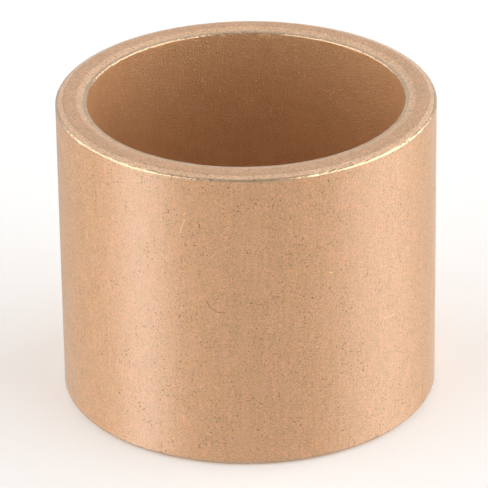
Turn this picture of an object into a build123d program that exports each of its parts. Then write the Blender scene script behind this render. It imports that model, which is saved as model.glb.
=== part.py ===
from build123d import *
import os

# A plain sleeve bushing, pressed from bronze powder and sintered in one piece, in millimetres.
# It is a thick-walled tube: a shaft turns in the bore, and the outside is pressed into a housing.
# +Z runs along the bore. The origin is the centre of the bottom end face.

BORE_DIAMETER = 25.0
OUTSIDE_DIAMETER = 30.0
LENGTH = 25.0

# Both ends have the corners that the press punches leave. A narrow flat land runs beside the
# core rod and beside the die wall, and a chamfer rises from each land to the flat end face.
INNER_LAND_WIDTH = 0.35
OUTER_LAND_WIDTH = 0.20
CHAMFER_WIDTH = 0.55
CHAMFER_DEPTH = 0.20

BORE_RADIUS = BORE_DIAMETER / 2
OUTSIDE_RADIUS = OUTSIDE_DIAMETER / 2

UPWARD = 1
DOWNWARD = -1


def end_outline(end_height, inward):
    """Points (radius, height) across one end of the wall, from the bore to the outside.

    end_height is the height of the flat end face, and inward is the direction from that face
    into the sleeve, UPWARD or DOWNWARD.
    """
    land_height = end_height + inward * CHAMFER_DEPTH
    inner_chamfer_foot = BORE_RADIUS + INNER_LAND_WIDTH
    outer_chamfer_foot = OUTSIDE_RADIUS - OUTER_LAND_WIDTH
    return [
        (BORE_RADIUS, land_height),
        (inner_chamfer_foot, land_height),
        (inner_chamfer_foot + CHAMFER_WIDTH, end_height),
        (outer_chamfer_foot - CHAMFER_WIDTH, end_height),
        (outer_chamfer_foot, land_height),
        (OUTSIDE_RADIUS, land_height),
    ]


def make_sleeve():
    """The section of the wall, turned once round the bore axis."""
    bottom_end = end_outline(0, UPWARD)
    top_end = end_outline(LENGTH, DOWNWARD)
    with BuildPart() as sleeve:
        with BuildSketch(Plane.XZ):
            with BuildLine():
                Polyline(*bottom_end, *reversed(top_end), close=True)
            make_face()
        revolve(axis=Axis.Z)
    return sleeve.part


os.makedirs("parts", exist_ok=True)

parts = {"sleeve": make_sleeve()}

for name, solid in parts.items():
    export_step(solid, f"parts/{name}.step")
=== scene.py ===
import math
from collections import namedtuple

import bpy
import numpy as np
from bpy.props import FloatProperty, FloatVectorProperty, IntProperty, PointerProperty
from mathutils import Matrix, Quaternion, Vector


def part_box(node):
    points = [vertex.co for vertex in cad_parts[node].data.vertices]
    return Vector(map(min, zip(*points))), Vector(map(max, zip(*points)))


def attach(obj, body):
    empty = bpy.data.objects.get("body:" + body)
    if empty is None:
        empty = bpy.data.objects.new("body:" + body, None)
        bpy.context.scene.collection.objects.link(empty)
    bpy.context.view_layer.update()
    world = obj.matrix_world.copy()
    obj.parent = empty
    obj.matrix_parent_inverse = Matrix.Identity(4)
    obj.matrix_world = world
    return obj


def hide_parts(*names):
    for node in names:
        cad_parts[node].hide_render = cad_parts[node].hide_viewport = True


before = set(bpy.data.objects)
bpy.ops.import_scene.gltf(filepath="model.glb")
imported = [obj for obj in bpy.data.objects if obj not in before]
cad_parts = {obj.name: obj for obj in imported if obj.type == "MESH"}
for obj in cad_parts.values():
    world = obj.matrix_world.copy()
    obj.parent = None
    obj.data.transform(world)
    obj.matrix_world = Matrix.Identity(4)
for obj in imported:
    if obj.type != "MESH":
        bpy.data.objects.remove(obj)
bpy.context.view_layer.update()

bl_info = {
    "name": "Sintered Bronze Sleeve Bushing",
    "version": (1, 0, 0),
    "blender": (4, 5, 0),
    "location": "View3D > Sidebar > Bushing",
    "description": "Makes a plain sleeve bushing of porous sintered bronze, with a light studio round it",
    "category": "Add Mesh",
}

MM = 0.001
CAD_NODE = "sleeve"
CAD_BODY = "root"

LOWEST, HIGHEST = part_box(CAD_NODE)
OUTSIDE_RADIUS = min(HIGHEST.x, HIGHEST.y)      # the CAD box is a facet narrower along Y
MIDDLE = Vector((0.0, 0.0, (LOWEST.z + HIGHEST.z) / 2))


def linear(hex_colour):
    """A colour written as sRGB hex, turned to linear light."""
    channels = np.array([int(hex_colour[i:i + 2], 16) for i in (1, 3, 5)]) / 255
    low = channels / 12.92
    high = ((channels + 0.055) / 1.055) ** 2.4
    return tuple(float(c) for c in np.where(channels <= 0.04045, low, high))


# ---------------------------------------------------------------- settings

class SleeveShape(bpy.types.PropertyGroup):
    """Sizes of the corners that pressing leaves, beyond those of the CAD section."""

    rim_round: FloatProperty(
        name="Rim rounding", default=0.19 * MM, min=0.02 * MM, max=0.2 * MM, unit="LENGTH",
        description="Radius on the outer edges, rolled over by the sizing die")
    bore_rim_round: FloatProperty(
        name="Bore rim rounding", default=0.12 * MM, min=0.02 * MM, max=0.2 * MM, unit="LENGTH",
        description="Radius on the edges of the bore, rolled over by the core rod")
    brow_round: FloatProperty(
        name="Brow rounding", default=0.30 * MM, min=0.02 * MM, max=0.5 * MM, unit="LENGTH",
        description="Radius where a chamfer meets the flat end face")
    foot_round: FloatProperty(
        name="Foot rounding", default=0.05 * MM, min=0.01 * MM, max=0.1 * MM, unit="LENGTH",
        description="Radius in the hollow corner where a chamfer meets its land")
    chip_depth: FloatProperty(
        name="Chip depth", default=0.06 * MM, min=0.0, max=0.1 * MM, unit="LENGTH",
        description="How deep the small chips along the rims reach")
    wander: FloatProperty(
        name="Edge wander", default=0.03 * MM, min=0.0, max=0.1 * MM, unit="LENGTH",
        description="How far the edges wander from a true circle")
    columns: IntProperty(
        name="Columns", default=1080, min=128, max=1086,
        description="Divisions round the sleeve")


class BronzeFinish(bpy.types.PropertyGroup):
    """Colours and grain of the sintered bronze."""

    wall_colour: FloatVectorProperty(
        name="Wall", subtype="COLOR", size=3, min=0, max=1, default=linear("#E2B485"),
        description="Outside wall, smeared smooth by the sizing die")
    end_colour: FloatVectorProperty(
        name="End", subtype="COLOR", size=3, min=0, max=1, default=linear("#DFB791"),
        description="End faces, pressed by the punches and paler than the wall")
    chamfer_colour: FloatVectorProperty(
        name="Chamfer", subtype="COLOR", size=3, min=0, max=1, default=linear("#F3CCA7"),
        description="Chamfers, more golden than the end faces")
    bore_colour: FloatVectorProperty(
        name="Bore", subtype="COLOR", size=3, min=0, max=1, default=linear("#DEB17F"),
        description="Bore, smoothed by the core rod and wet with oil")
    rim_colour: FloatVectorProperty(
        name="Rim", subtype="COLOR", size=3, min=0, max=1, default=linear("#E2BE96"),
        description="Rims, burnished bright by the tools")
    pore_colour: FloatVectorProperty(
        name="Pore", subtype="COLOR", size=3, min=0, max=1, default=linear("#6B4A2C"),
        description="Inside of an open pore")
    pore_size: FloatProperty(
        name="Pore size", default=0.09 * MM, min=0.02 * MM, max=0.3 * MM, unit="LENGTH",
        description="Radius of the larger pores")
    pore_spacing: FloatProperty(
        name="Pore spacing", default=0.33 * MM, min=0.1 * MM, max=2 * MM, unit="LENGTH",
        description="Mean distance between pores in the metal")
    grain_size: FloatProperty(
        name="Grain", default=0.14 * MM, min=0.05 * MM, max=1 * MM, unit="LENGTH",
        description="Size of the powder grains, which mottle the surface")


class StudioSetup(bpy.types.PropertyGroup):
    """Light tent and camera."""

    room_light: FloatProperty(
        name="Room", default=0.71, min=0.0, max=5.0,
        description="Brightness of the room between the lit panels")
    back_light: FloatProperty(
        name="Back", default=0.1, min=0.0, max=5.0,
        description="Extra light from the white sheet behind the sleeve")
    left_light: FloatProperty(
        name="Left side", default=1.5, min=0.0, max=50.0,
        description="Extra light from the left side of the tent")
    left_glow: FloatProperty(
        name="Left glow", default=2.8, min=0.0, max=50.0,
        description="Extra light that the table throws back on the left")
    right_light: FloatProperty(
        name="Right side", default=2.0, min=0.0, max=50.0,
        description="Extra light from the right side of the tent")
    right_glow: FloatProperty(
        name="Right glow", default=1.25, min=0.0, max=50.0,
        description="Extra light that the table throws back on the right")
    edge_glow: FloatProperty(
        name="Edge glow", default=0.55, min=0.0, max=50.0,
        description="Extra light from behind and below that brightens the right edge")
    front_shade: FloatProperty(
        name="Front shade", default=-0.25, min=-1.0, max=1.0,
        description="Light added behind and above the camera, where below 0 dims the tent")
    camera_distance: FloatProperty(
        name="Camera distance", default=341.4 * MM, min=0.1, max=5.0, unit="LENGTH",
        description="From the sleeve's middle to the camera")
    camera_elevation: FloatProperty(
        name="Camera elevation", default=math.radians(26.65), min=0.0, max=math.pi / 2,
        subtype="ANGLE", description="Height of the camera above the horizontal, seen from the sleeve")
    camera_roll: FloatProperty(
        name="Camera roll", default=math.radians(-0.84), min=-math.pi, max=math.pi,
        subtype="ANGLE", description="Turn of the camera about its own line of sight")
    aim: FloatVectorProperty(
        name="Aim", default=(-0.32 * MM, 0.0, -0.62 * MM), size=3, subtype="TRANSLATION",
        description="Where the camera looks, from the sleeve's middle")
    lens: FloatProperty(
        name="Lens", default=315.3, min=10.0, max=1000.0,
        description="Focal length in millimetres on a sensor 36 mm wide")


# ---------------------------------------------------------------- shape

ZONES = ("wall", "rim", "chamfer", "end", "bore")
WALL, RIM, CHAMFER, END, BORE = range(len(ZONES))


def section_marks():
    """Radii and heights, low to high, at which the CAD sleeve's section turns a corner."""
    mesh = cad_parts[CAD_NODE].data
    co = np.empty(len(mesh.vertices) * 3)
    mesh.vertices.foreach_get("co", co)
    x, y, z = co.reshape(-1, 3).T
    radii = np.unique(np.round(np.hypot(x, y), 6))
    heights = np.unique(np.round(z, 6))
    if len(radii) != 6 or len(heights) != 4:
        raise RuntimeError(f"the CAD sleeve has an unexpected section: {radii}, {heights}")
    return radii, heights


def rounded_corner(before, corner, after, radius, steps):
    """Points of a circular arc that touches both sides of a corner.

    The arc starts radius / tan(half the inner angle) along each side, and its centre lies
    radius / sin(half the inner angle) from the corner, along the line that halves it.
    """
    back = (before - corner) / np.linalg.norm(before - corner)
    on = (after - corner) / np.linalg.norm(after - corner)
    half = math.acos(float(np.clip(back @ on, -1, 1))) / 2
    centre = corner + (back + on) / np.linalg.norm(back + on) * radius / math.sin(half)
    start = corner + back * radius / math.tan(half) - centre
    end = corner + on * radius / math.tan(half) - centre
    sweep = math.pi - 2 * half
    t = np.linspace(0, 1, steps + 1)[:, None]
    return centre + (np.sin((1 - t) * sweep) * start + np.sin(t * sweep) * end) / math.sin(sweep)


def sleeve_section(shape):
    """The wall's closed section, anticlockwise, as (radius, height), with each point's zone.

    It is the CAD outline with its corners rounded. Extra points near each arc keep the straight
    runs flat in shading, and still is where the wear at an edge has died away.
    """
    (bore, inner_foot, inner_brow, outer_brow, outer_foot, _), levels = section_marks()
    bottom, low_land, high_land, top = levels
    outside = OUTSIDE_RADIUS
    rim, bore_rim = shape.rim_round, shape.bore_rim_round
    brow, foot = shape.brow_round, shape.foot_round
    near, still = 0.03 * MM, 0.4 * MM
    short_run, long_run = 0.4 * MM, 5 * MM
    fine, plain = 8, 2      # steps of the arcs that show most, and of the others
    corners = [
        (outside, high_land, rim, fine, RIM, RIM),
        (outer_foot, high_land, foot, plain, CHAMFER, CHAMFER),
        (outer_brow, top, brow, plain, END, END),
        (inner_brow, top, brow, plain, END, CHAMFER),
        (inner_foot, high_land, foot, plain, CHAMFER, RIM),
        (bore, high_land, bore_rim, fine, RIM, BORE),
        (bore, low_land, bore_rim, fine, RIM, RIM),
        (inner_foot, low_land, foot, plain, CHAMFER, CHAMFER),
        (inner_brow, bottom, brow, plain, END, END),
        (outer_brow, bottom, brow, plain, END, CHAMFER),
        (outer_foot, low_land, foot, plain, CHAMFER, RIM),
        (outside, low_land, rim, fine, RIM, WALL),
    ]
    at = [np.array(c[:2]) for c in corners]
    count = len(corners)
    arcs = [
        rounded_corner(at[i - 1], at[i], at[(i + 1) % count], corners[i][2], corners[i][3])
        for i in range(count)
    ]
    points, zones = [], []
    for i, (_, _, _, _, arc_zone, run_zone) in enumerate(corners):
        start, end = arcs[i][-1], arcs[(i + 1) % count][0]
        run = np.linalg.norm(end - start)
        stops = ()
        if run > long_run:
            stops = (still / run, 0.5, 1 - still / run)
        elif run > short_run:
            stops = (0.5,)
        if run > 3 * near:
            stops = (near / run, *stops, 1 - near / run)
        points += [arcs[i], *[start + (end - start) * s for s in stops]]
        zones += [arc_zone] * (len(arcs[i]) - 1) + [run_zone] * (1 + len(stops))
    return np.vstack(points), np.array(zones)


def ring_noise(turns, rows, cells, layers, rng):
    """Smooth noise from about -1 to 1 on a grid of turns and rows, closed round the ring.

    Random values sit on a lattice of cells round the ring by layers along the section, and each
    point blends the four round it with the smooth weight 3t^2 - 2t^3.
    """
    lattice = rng.uniform(-1, 1, (cells, layers + 1))
    u, v = turns * cells, rows * layers
    i, j = np.floor(u).astype(int), np.minimum(np.floor(v).astype(int), layers - 1)
    s, t = u - i, v - j
    s, t = s * s * (3 - 2 * s), t * t * (3 - 2 * t)
    i, k = i % cells, (i + 1) % cells
    low = lattice[i, j] * (1 - s) + lattice[k, j] * s
    high = lattice[i, j + 1] * (1 - s) + lattice[k, j + 1] * s
    return low * (1 - t) + high * t


# wear of the edges: how far from an edge it reaches, and the cells of its noise round the ring,
# which make small chips about 0.2 mm long, large ones about 0.8 mm long and a wander over 2 mm
WEAR_REACH = 0.13 * MM
SMALL_CHIPS, LARGE_CHIPS, WANDERS = 430, 118, 41
WANDER_LAYERS = 12
WEAR_SEED = 25


def sleeve_surface(shape):
    """Points (turn, section point, xyz) of the sleeve, and the zone of each section point.

    The section is carried once round the Z axis. Chips and wander push each point inwards along
    the section's own normal, most at the edges and hardly at all 0.3 mm away from one.
    """
    rng = np.random.default_rng(WEAR_SEED)
    section, zones = sleeve_section(shape)
    radii, heights = section_marks()
    edge_radii = radii[[0, 2, 3, 5]]
    edge_heights = heights[[1, 0, 0, 1]]
    ahead, behind = np.roll(section, -1, 0), np.roll(section, 1, 0)
    slope = ahead - behind
    normal = np.stack([slope[:, 1], -slope[:, 0]], 1) / np.linalg.norm(slope, axis=1)[:, None]
    mirrored = np.minimum(section[:, 1] - heights[0], heights[-1] - section[:, 1])
    gap = np.hypot(
        section[:, :1] - edge_radii, mirrored[:, None] - (edge_heights - heights[0])).T
    reach = np.exp(-(gap / WEAR_REACH) ** 2)
    at_rim = np.maximum(reach[0], reach[3])
    at_edge = reach.max(0)
    turns, rows = np.meshgrid(
        np.arange(shape.columns) / shape.columns, np.linspace(0, 1, len(section)), indexing="ij")
    small = ring_noise(turns, rows, SMALL_CHIPS, len(section) // 2, rng)
    large = ring_noise(turns, rows, LARGE_CHIPS, len(section) // 3, rng)
    slow = ring_noise(turns, rows, WANDERS, WANDER_LAYERS, rng)
    small_share, large_share = 0.7, 0.6
    chips = np.clip(small * small_share + large * large_share, 0, 1)
    sink = at_rim * shape.chip_depth * chips + at_edge * shape.wander * (slow + 1) / 2
    radius = section[:, 0] - sink * normal[:, 0]
    height = section[:, 1] - sink * normal[:, 1]
    angle = turns * 2 * math.pi
    return np.stack([radius * np.cos(angle), radius * np.sin(angle), height], 2), zones


def ring_faces(columns, rows):
    """Quads that join each section to the next and the last to the first, facing outwards."""
    i, j = np.meshgrid(np.arange(columns), np.arange(rows), indexing="ij")
    next_i, next_j = (i + 1) % columns, (j + 1) % rows
    return np.stack(
        [i * rows + j, next_i * rows + j, next_i * rows + next_j, i * rows + next_j], 2).reshape(-1, 4)


def new_piece(name, points, faces, materials, zones=None):
    """A smooth mesh object at the origin, with its place in its mesh."""
    mesh = bpy.data.meshes.new(name)
    mesh.from_pydata(points.reshape(-1, 3).tolist(), [], faces.tolist())
    for material in materials:
        mesh.materials.append(material)
    mesh.polygons.foreach_set("use_smooth", np.ones(len(faces), bool))
    if zones is not None:
        mesh.polygons.foreach_set("material_index", zones.astype(np.int32))
    mesh.update()
    piece = bpy.data.objects.new(name, mesh)
    bpy.context.scene.collection.objects.link(piece)
    return piece


# ---------------------------------------------------------------- materials

# The sockets of a colour Mix node: 0 is the factor, 6 and 7 are the colours, and 2 is the result.
COLOUR_MIX = {"out": 2, "data_type": "RGBA"}
SMOOTH = {"interpolation_type": "SMOOTHSTEP"}

# What sets one finish apart from another. grain, pore_spacing and pore_size are parts of the
# sizes in BronzeFinish, and shade is how far the grains lighten and darken the body. rough is the
# roughness on low and on high grains, which in the bore is off and on a fleck. film is the weight
# of the oil film on the metal and in a pore, film_rough is its roughness, and relief is the height
# of the grains in mm.
Skin = namedtuple("Skin", "grain shade pore_spacing pore_size rough film film_rough relief")
WALL_SKIN = Skin(1.0, 0.17, 1.0, 1.0, (0.68, 0.80), (0.80, 0.15), 0.25, 0.007)
END_SKIN = Skin(1.0, 0.22, 1.0, 0.8, (0.70, 0.82), (0.60, 0.10), 0.30, 0.012)
CHAMFER_SKIN = Skin(1.2, 0.22, 0.9, 0.9, (0.50, 0.68), (0.60, 0.10), 0.25, 0.015)
BORE_SKIN = Skin(1.0, 0.08, 0.7, 0.9, (0.62, 0.30), (0.50, 0.50), 0.30, 0.030)
RIM_SKIN = Skin(1.8, 0.10, 1.0, 1.2, (0.10, 0.24), (0.55, 0.55), 0.08, 0.008)
FILM_IOR = 2.1      # an oil's is 1.5, and the smeared bright skin under it adds to the gloss


def node(tree, kind, inputs=(), out=0, **settings):
    """Add a shader node and give one of its outputs.

    inputs are the values of its sockets, in order or by name. A value that is another node's
    output is linked. settings are the node's own properties.
    """
    made = tree.nodes.new("ShaderNode" + kind)
    for name, value in settings.items():
        setattr(made, name, value)
    by_socket = inputs if isinstance(inputs, dict) else dict(enumerate(inputs))
    for socket, value in by_socket.items():
        if isinstance(value, bpy.types.NodeSocket):
            tree.links.new(value, made.inputs[socket])
        else:
            made.inputs[socket].default_value = value
    return made.outputs[out] if made.outputs else None


def start_material(name):
    """An empty material and the piece's own coordinates in millimetres."""
    material = bpy.data.materials.new(name)
    material.use_nodes = True
    tree = material.node_tree
    tree.nodes.clear()
    place = node(tree, "TexCoord", out="Object")
    return material, tree, node(tree, "Mapping", {"Vector": place, "Scale": (1 / MM,) * 3})


def tone(colour, red=1.0, green=1.0, blue=1.0):
    """A colour with each channel scaled, and full alpha."""
    return (*(min(1.0, c * k) for c, k in zip(colour, (red, green, blue))), 1.0)


def open_pores(tree, place, spacing, radius):
    """1 inside an open pore and 0 on the metal. Lengths are in millimetres.

    Each cell of a Voronoi pattern holds one pore. Its radius is random and swells and shrinks
    with a slow noise, so pores gather in clusters, and a fine noise bends its outline.
    """
    smallest, largest = 0.35, 1.0       # radii of single pores, as parts of radius
    sparse, crowded = 0.6, 1.15         # how much a cluster shrinks and swells them
    wobble = node(
        tree, "TexNoise", {"Vector": place, "Scale": 0.6 / radius, "Detail": 1.0}, out="Color")
    bent = node(
        tree, "VectorMath", (wobble, (radius * 0.8,) * 3, place), operation="MULTIPLY_ADD")
    cells = node(
        tree, "TexVoronoi", {"Vector": bent, "Scale": 1 / spacing, "Randomness": 1.0}, out="Distance")
    dice = node(tree, "SeparateColor", (cells.node.outputs["Color"],))
    chance = node(tree, "MapRange", (dice, 0.0, 1.0, smallest, largest), **SMOOTH)
    slow = node(tree, "TexNoise", {"Vector": place, "Scale": 0.6, "Detail": 2.0})
    cluster = node(tree, "MapRange", (slow, 0.35, 0.65, sparse, crowded), **SMOOTH)
    size = node(tree, "Math", (chance, cluster), operation="MULTIPLY")
    edge = node(tree, "Math", (size, radius / spacing), operation="MULTIPLY")
    inner = node(tree, "Math", (edge, 0.5), operation="MULTIPLY")
    return node(tree, "MapRange", (cells, inner, edge, 1.0, 0.0), **SMOOTH)


def grains(tree, place, size):
    """Powder grains about size millimetres across, as a noise from 0 to 1."""
    noise = node(
        tree, "TexNoise", {"Vector": place, "Scale": 1 / size, "Detail": 3.0, "Roughness": 0.7})
    return node(tree, "MapRange", (noise, 0.32, 0.68), **SMOOTH)


def pore_pattern(tree, place, look, skin):
    """The open pores of one finish."""
    return open_pores(
        tree, place, look.pore_spacing / MM * skin.pore_spacing, look.pore_size / MM * skin.pore_size)


def mottled(tree, place, first, second, grain, spread):
    """A body colour that drifts between two tones in patches of about 1 mm.

    The grains then darken and lighten it by up to spread, as a part of 1.
    """
    noise = node(tree, "TexNoise", {"Vector": place, "Scale": 0.9, "Detail": 3.0, "Roughness": 0.6})
    drift = node(tree, "MapRange", (noise, 0.38, 0.62), **SMOOTH)
    body = node(tree, "Mix", {0: drift, 6: first, 7: second}, **COLOUR_MIX)
    shade = node(tree, "MapRange", (grain, 0.0, 1.0, 1 - spread, 1 + spread))
    return node(tree, "Mix", {0: 1.0, 6: body, 7: shade}, blend_type="MULTIPLY", **COLOUR_MIX)


def stained(tree, body, mask, strength, colour):
    """The body colour with a stain over it where the mask is 1, as strong as strength."""
    amount = node(tree, "Math", (mask, strength), operation="MULTIPLY")
    return node(tree, "Mix", {0: amount, 6: body, 7: colour}, **COLOUR_MIX)


def pitted(tree, grain, pores, pit_depth):
    """Height of a grainy surface with pits at its pores, from about -pit_depth to 1."""
    pits = node(tree, "Math", (pores, pit_depth), operation="MULTIPLY")
    return node(tree, "Math", (grain, pits), operation="SUBTRACT")


def painted_shade_line(tree, place, radius, half_width):
    """1 on a thin line round the bore axis at a radius and 0 beside it, in millimetres."""
    level = node(tree, "VectorMath", (place, (1.0, 1.0, 0.0)), operation="MULTIPLY")
    reach = node(tree, "VectorMath", (level,), out="Value", operation="LENGTH")
    gap = node(tree, "Math", (reach, radius), operation="SUBTRACT")
    size = node(tree, "Math", (gap,), operation="ABSOLUTE")
    return node(tree, "MapRange", (size, half_width, half_width * 0.3), **SMOOTH)


def on_wall(bearing, height):
    """The point of the outside wall at a bearing in degrees and a height, in millimetres."""
    turn = math.radians(bearing)
    radius = OUTSIDE_RADIUS / MM
    return Vector((radius * math.cos(turn), radius * math.sin(turn), height))


def scratches(tree, place, marks):
    """1 on any of several straight scratches and 0 beside them.

    The distance to a scratch is the distance to the nearest point of the line from its start to
    its end. That point lies a part 0 to 1 along it, which the dot product with the line gives.
    """
    found = 0.0
    for start, end, half_width in marks:
        start, end = on_wall(*start), on_wall(*end)
        along = end - start
        offset = node(tree, "VectorMath", (place, start), operation="SUBTRACT")
        dot = node(
            tree, "VectorMath", (offset, along / along.length_squared), out="Value",
            operation="DOT_PRODUCT")
        part = node(tree, "Math", (dot, 1.0), operation="MULTIPLY", use_clamp=True)
        nearest = node(tree, "VectorMath", {0: along, "Scale": part}, operation="SCALE")
        gap = node(tree, "VectorMath", (offset, nearest), out="Value", operation="DISTANCE")
        mark = node(tree, "MapRange", (gap, half_width, half_width * 0.4), **SMOOTH)
        found = node(tree, "Math", (found, mark), operation="MAXIMUM")
    return found


def finish_bronze(material, tree, skin, colour, roughness, film, height):
    """The shader that all the finishes share: bronze under a film of oil.

    height is the shape of the surface from 0 to 1, and the skin's relief is what 1 stands for.
    """
    bump = node(tree, "Bump", {"Height": height, "Strength": 1.0, "Distance": skin.relief * MM})
    shader = node(tree, "BsdfPrincipled", {
        "Base Color": colour, "Roughness": roughness, "Metallic": 1.0,
        "Coat Weight": film, "Coat Roughness": skin.film_rough, "Coat IOR": FILM_IOR,
        "Normal": bump, "Coat Normal": bump,
    }, distribution="MULTI_GGX")
    node(tree, "OutputMaterial", (shader,))
    return material


# handling marks on the wall: start and end as bearing in degrees and height in mm, and half width
PALE_MARKS = (
    ((249.7, 20.0), (251.4, 21.2), 0.06),
    ((251.2, 21.6), (251.5, 21.7), 0.09),
    ((314.5, 10.6), (319.5, 10.5), 0.05),
    ((294.5, 16.2), (295.8, 16.1), 0.08),
)
DARK_MARKS = (
    ((257.6, 14.4), (258.5, 13.9), 0.05),
    ((258.5, 13.9), (260.8, 13.5), 0.05),
    ((260.8, 13.5), (263.2, 13.5), 0.05),
)


def sized_wall(look):
    """Sintered tin bronze, sized in a die: soft satin, warm tan, with scattered dark pores.

    The die leaves faint upright streaks, and handling leaves a few short scratches. The grains
    are drawn coarser than real powder, so that they show.
    """
    skin = WALL_SKIN
    material, tree, place = start_material("sintered_bronze_sized_wall")
    grain = grains(tree, place, look.grain_size / MM * skin.grain)
    pores = pore_pattern(tree, place, look, skin)
    specks = pore_pattern(tree, place, look, skin._replace(pore_spacing=0.6, pore_size=0.8))
    wall, pore = look.wall_colour, tone(look.pore_colour)
    green, pink = tone(wall, 0.98, 0.99, 0.95), tone(wall, 1.02, 1.01, 1.04)
    body = mottled(tree, place, green, pink, grain, skin.shade)
    upright = node(tree, "Mapping", {"Vector": place, "Scale": (1, 1, 0.06)})
    lines = node(tree, "TexNoise", {"Vector": upright, "Scale": 4.5, "Detail": 2.0, "Roughness": 0.6})
    streaks = node(tree, "MapRange", (lines, 0.35, 0.65, 0.98, 1.02), **SMOOTH)
    body = node(tree, "Mix", {0: 1.0, 6: body, 7: streaks}, blend_type="MULTIPLY", **COLOUR_MIX)
    body = stained(tree, body, specks, 0.42, pore)
    body = stained(tree, body, pores, 0.55, pore)
    body = stained(tree, body, scratches(tree, place, PALE_MARKS), 0.7, tone(wall, 1.4, 1.5, 1.6))
    body = stained(tree, body, scratches(tree, place, DARK_MARKS), 0.45, pore)
    rough = node(tree, "MapRange", (grain, 0.0, 1.0, *skin.rough))
    film = node(tree, "MapRange", (pores, 0.0, 1.0, *skin.film))
    return finish_bronze(material, tree, skin, body, rough, film, pitted(tree, grain, pores, 1.0))


def punched_end(look):
    """Sintered tin bronze, pressed by the punch: paler, matt and greyer than the wall."""
    skin = END_SKIN
    material, tree, place = start_material("sintered_bronze_punched_end")
    grain = grains(tree, place, look.grain_size / MM * skin.grain)
    pores = pore_pattern(tree, place, look, skin)
    end = look.end_colour
    green, pink = tone(end, 0.97, 0.96, 0.93), tone(end, 1.03, 1.03, 1.04)
    body = mottled(tree, place, green, pink, grain, skin.shade)
    body = stained(tree, body, pores, 0.55, tone(look.pore_colour))
    rough = node(tree, "MapRange", (grain, 0.0, 1.0, *skin.rough))
    film = node(tree, "MapRange", (pores, 0.0, 1.0, *skin.film))
    return finish_bronze(material, tree, skin, body, rough, film, pitted(tree, grain, pores, 1.0))


def coined_chamfer(look):
    """Sintered tin bronze, coined by the punch's corner: golden and coarse, with torn pores.

    A soft dark line of painted shade runs on the outer chamfer just below its brow.
    """
    skin = CHAMFER_SKIN
    material, tree, place = start_material("sintered_bronze_coined_chamfer")
    grain = grains(tree, place, look.grain_size / MM * skin.grain)
    pores = pore_pattern(tree, place, look, skin)
    gold = look.chamfer_colour
    green, pink = tone(gold, 0.96, 0.95, 0.90), tone(gold, 1.03, 1.02, 1.04)
    body = mottled(tree, place, green, pink, grain, skin.shade)
    body = stained(tree, body, pores, 0.6, tone(look.pore_colour))
    outer_brow = section_marks()[0][3] / MM
    past_brow, half_width = 0.1, 0.14
    # painted shade: a soft dark line on the outer chamfer just below its brow
    line = painted_shade_line(tree, place, outer_brow + past_brow, half_width)
    body = stained(tree, body, line, 0.35, tone(gold, 0.5, 0.38, 0.25))
    rough = node(tree, "MapRange", (grain, 0.0, 1.0, *skin.rough))
    film = node(tree, "MapRange", (pores, 0.0, 1.0, *skin.film))
    return finish_bronze(material, tree, skin, body, rough, film, pitted(tree, grain, pores, 1.0))


def cored_bore(look):
    """Sintered tin bronze, sized on the core rod: orange-brown with oil, and its grains glint.

    Pale, smoother spots stand where the other finishes have pores, and their pale colour is a
    painted glint. As painted light that falls in at the mouths, they are full near both mouths of
    the bore and fade out between bright and still, in mm from its middle.
    """
    skin = BORE_SKIN
    still, bright = 2.0, 9.0
    material, tree, place = start_material("sintered_bronze_cored_bore")
    grain = grains(tree, place, look.grain_size / MM * skin.grain)
    flecks_and_painted_glints = pore_pattern(tree, place, look, skin)
    bore = look.bore_colour
    brown, orange = tone(bore, 0.98, 0.95, 0.92), tone(bore, 1.02, 1.02, 1.04)
    body = mottled(tree, place, brown, orange, grain, skin.shade)
    height = node(tree, "SeparateXYZ", (place,), out=2)
    off_middle = node(tree, "Math", (height, MIDDLE.z / MM), operation="SUBTRACT")
    reach = node(tree, "Math", (off_middle,), operation="ABSOLUTE")
    # painted light: the spots show fully near both mouths of the bore, where light falls in, and fade
    # towards its middle
    painted_light_at_mouths = node(tree, "MapRange", (reach, still, bright), **SMOOTH)
    flecks_and_painted_glints = node(tree, "Math", (flecks_and_painted_glints, painted_light_at_mouths), operation="MULTIPLY")
    # painted glints: the spots are painted paler than the bore around them
    body = stained(tree, body, flecks_and_painted_glints, 0.8, tone(bore, 1.3, 1.4, 1.6))
    rough = node(tree, "MapRange", (flecks_and_painted_glints, 0.0, 1.0, *skin.rough))
    relief = node(tree, "Math", (flecks_and_painted_glints, 0.8, grain), operation="MULTIPLY_ADD")
    return finish_bronze(material, tree, skin, body, rough, skin.film[0], relief)


def burnished_rim(look):
    """The same bronze where the tools rubbed it bright: smooth and glinting, broken by chips."""
    skin = RIM_SKIN
    material, tree, place = start_material("sintered_bronze_burnished_rim")
    grain = grains(tree, place, look.grain_size / MM * skin.grain)
    chips = pore_pattern(tree, place, look, skin)
    rim = look.rim_colour
    dull, bright = tone(rim, 0.94, 0.94, 0.92), tone(rim, 1.05, 1.05, 1.06)
    body = mottled(tree, place, dull, bright, grain, skin.shade)
    body = stained(tree, body, chips, 0.6, tone(look.pore_colour))
    rough = node(tree, "MapRange", (grain, 0.0, 1.0, *skin.rough))
    return finish_bronze(
        material, tree, skin, body, rough, skin.film[0], pitted(tree, grain, chips, 0.8))


# ---------------------------------------------------------------- studio

# Panels of the light tent, in degrees: bearing, half width, lowest and highest rise. The glows
# lie below the horizon, because the upright wall seen from above mirrors what is down there.
TENT_PANELS = {
    "back_light": (90, 80, -2, 50),
    "left_light": (190, 46, 2, 48),
    "left_glow": (202, 13, -42, 0),
    "right_light": (-7, 49, 2, 48),
    "right_glow": (-3, 27, -42, 0),
    "edge_glow": (82, 12, -42, 0),
    "front_shade": (270, 30, 12, 94),
}
PANEL_EDGE = math.radians(4)        # half the width of a panel's soft edge

PAPER_SIDES = 96
FOOT = 0.98     # where the two papers meet under the wall, as a part of the outside radius


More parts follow.
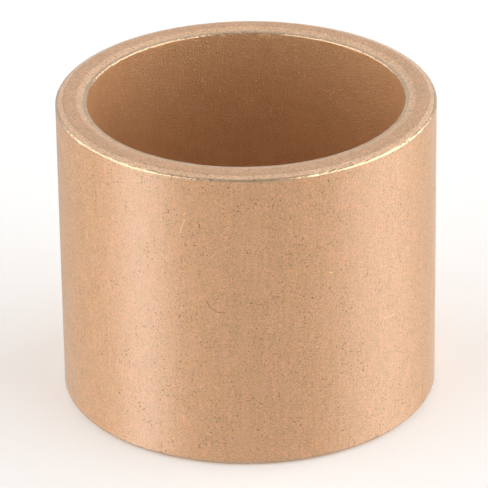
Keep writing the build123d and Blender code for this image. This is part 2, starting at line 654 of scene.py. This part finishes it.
def tent_panel(tree, bearing, rise, centre, half_width, low, high):
    """1 on a bright panel of the tent and 0 off it.

    The panel spans half_width either side of its centre bearing, and from low to high above the
    horizon, all in radians, with soft edges.
    """
    turn = node(tree, "Math", (bearing, centre), operation="SUBTRACT")
    off = node(tree, "Math", (turn, math.pi, -math.pi), operation="WRAP")
    size = node(tree, "Math", (off,), operation="ABSOLUTE")
    across = node(tree, "MapRange", (size, half_width + PANEL_EDGE, half_width - PANEL_EDGE), **SMOOTH)
    above = node(tree, "MapRange", (rise, low - PANEL_EDGE, low + PANEL_EDGE), **SMOOTH)
    below = node(tree, "MapRange", (rise, high + PANEL_EDGE, high - PANEL_EDGE), **SMOOTH)
    band = node(tree, "Math", (above, below), operation="MULTIPLY")
    return node(tree, "Math", (across, band), operation="MULTIPLY")


def light_tent(studio):
    """A white tent all round the sleeve, brighter on its panels.

    The bearing of a direction is the angle of its x and y, and its rise is the arcsine of its z.
    """
    world = bpy.data.worlds.new("light_tent")
    world.use_nodes = True
    tree = world.node_tree
    tree.nodes.clear()
    way = node(tree, "TexCoord", out="Generated")
    x, y, z = node(tree, "SeparateXYZ", (way,)).node.outputs
    bearing = node(tree, "Math", (y, x), operation="ARCTAN2")
    rise = node(tree, "Math", (z,), operation="ARCSINE")
    light = studio.room_light
    for name, sides in TENT_PANELS.items():
        patch = tent_panel(tree, bearing, rise, *map(math.radians, sides))
        light = node(tree, "Math", (patch, getattr(studio, name), light), operation="MULTIPLY_ADD")
    shade = node(tree, "Background", {"Strength": light})
    node(tree, "OutputWorld", (shade,))
    return world


def seamless_paper(name, radius, material):
    """White paper that lies flat round the sleeve and curves up into a wall, carried round Z.

    Its profile is flat from the sleeve's foot to radius, then a quarter circle of the same radius.
    """
    columns, bend_points = PAPER_SIDES, 13
    bend = np.linspace(0, math.pi / 2, bend_points)
    reach = np.concatenate([[OUTSIDE_RADIUS * FOOT, radius * 0.1], radius * (1 + np.sin(bend))])
    height = LOWEST.z + np.concatenate([[0, 0], radius * (1 - np.cos(bend))])
    turns = np.arange(columns) / columns * 2 * math.pi
    points = np.stack([
        np.outer(np.cos(turns), reach),
        np.outer(np.sin(turns), reach),
        np.tile(height, (columns, 1))], 2)
    i, j = np.meshgrid(np.arange(columns), np.arange(len(reach) - 1), indexing="ij")
    next_i, rows = (i + 1) % columns, len(reach)
    faces = np.stack([
        i * rows + j, i * rows + j + 1, next_i * rows + j + 1, next_i * rows + j], 2).reshape(-1, 4)
    return new_piece(name, points, faces, [material])


def paper_disc(name, material):
    """The paper under the sleeve, as one round face that meets the rest under its wall."""
    turns = np.linspace(0, 2 * math.pi, PAPER_SIDES, endpoint=False)
    radius = OUTSIDE_RADIUS * FOOT
    ring = np.stack([
        radius * np.cos(turns), radius * np.sin(turns), np.full(len(turns), LOWEST.z)], 1)
    return new_piece(name, ring, np.arange(len(turns))[None, :], [material])


def white_paper(name, near_glow, far_glow):
    """Matt white paper that fades, from 0.2 m to 0.7 m away, into an evenly lit white ground.

    near_glow and far_glow are the light that it gives of itself near the sleeve and far away.
    """
    paper, tree, place = start_material(name)
    fade_start, fade_end = 200.0, 700.0
    reach = node(tree, "VectorMath", (place,), out="Value", operation="LENGTH")
    far = node(tree, "MapRange", (reach, fade_start, fade_end), **SMOOTH)
    white, black = tone(linear("#FAFAF9")), tone(linear("#000000"))
    colour = node(tree, "Mix", {0: far, 6: white, 7: black}, **COLOUR_MIX)
    glow = node(tree, "MapRange", (far, 0.0, 1.0, near_glow, far_glow))
    shader = node(tree, "BsdfPrincipled", {
        "Base Color": colour, "Roughness": 0.9, "Specular IOR Level": 0.0,
        "Emission Color": white, "Emission Strength": glow})
    node(tree, "OutputMaterial", (shader,))
    return paper


# ---------------------------------------------------------------- operators

class BUSHING_OT_make_sleeve(bpy.types.Operator):
    """Make the sleeve and its bronze finishes"""

    bl_idname = "bushing.make_sleeve"
    bl_label = "Make sleeve"

    def execute(self, context):
        shape = context.scene.bushing_shape
        look = context.scene.bushing_finish
        points, zones = sleeve_surface(shape)
        faces = ring_faces(*points.shape[:2])
        materials = [
            sized_wall(look), burnished_rim(look), coined_chamfer(look), punched_end(look),
            cored_bore(look)]
        sleeve = new_piece(
            "bronze_sleeve", points, faces, materials, np.tile(zones, points.shape[0]))
        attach(sleeve, CAD_BODY)
        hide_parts(CAD_NODE)
        return {"FINISHED"}


class BUSHING_OT_make_studio(bpy.types.Operator):
    """Make the white floor, the light tent and the camera"""

    bl_idname = "bushing.make_studio"
    bl_label = "Make studio"

    def execute(self, context):
        studio = context.scene.bushing_studio
        scene = context.scene
        scene.world = light_tent(studio)
        scene.view_settings.view_transform = "Standard"

        lit_paper = white_paper("lit_paper", near_glow=0.12, far_glow=1.0)
        floor = seamless_paper("white_floor", 0.8, lit_paper)
        # only the camera sees the floor, so that the glows below the horizon reach the wall
        for ray in ("diffuse", "glossy", "transmission", "shadow"):
            setattr(floor, "visible_" + ray, False)
        paper_disc("floor_under_sleeve", white_paper("plain_paper", 0.0, 0.0))

        camera = bpy.data.objects.new("camera", bpy.data.cameras.new("camera"))
        rise = studio.camera_elevation
        away = Vector((0, -math.cos(rise), math.sin(rise)))
        camera.location = MIDDLE + studio.camera_distance * away
        look_along = (MIDDLE + Vector(studio.aim) - camera.location).to_track_quat("-Z", "Y")
        camera.rotation_euler = (look_along @ Quaternion((0, 0, 1), studio.camera_roll)).to_euler()
        camera.data.sensor_width = 36
        camera.data.lens = studio.lens
        camera.data.clip_start = 0.01
        scene.collection.objects.link(camera)
        scene.camera = camera
        return {"FINISHED"}


class BUSHING_PT_panel(bpy.types.Panel):
    """Sleeve bushing"""

    bl_idname = "BUSHING_PT_panel"
    bl_label = "Sleeve bushing"
    bl_space_type = "VIEW_3D"
    bl_region_type = "UI"
    bl_category = "Bushing"

    def draw(self, context):
        for group, operator in (
            ("bushing_shape", None),
            ("bushing_finish", BUSHING_OT_make_sleeve),
            ("bushing_studio", BUSHING_OT_make_studio),
        ):
            box = self.layout.box()
            settings = getattr(context.scene, group)
            for name in settings.__annotations__:
                box.prop(settings, name)
            if operator:
                box.operator(operator.bl_idname)


CLASSES = (
    SleeveShape, BronzeFinish, StudioSetup,
    BUSHING_OT_make_sleeve, BUSHING_OT_make_studio, BUSHING_PT_panel,
)


def register():
    for cls in CLASSES:
        bpy.utils.register_class(cls)
    bpy.types.Scene.bushing_shape = PointerProperty(type=SleeveShape)
    bpy.types.Scene.bushing_finish = PointerProperty(type=BronzeFinish)
    bpy.types.Scene.bushing_studio = PointerProperty(type=StudioSetup)


def unregister():
    del bpy.types.Scene.bushing_shape
    del bpy.types.Scene.bushing_finish
    del bpy.types.Scene.bushing_studio
    for cls in reversed(CLASSES):
        bpy.utils.unregister_class(cls)


def main():
    register()
    bpy.ops.bushing.make_sleeve()
    bpy.ops.bushing.make_studio()


if __name__ == "__main__":
    main()
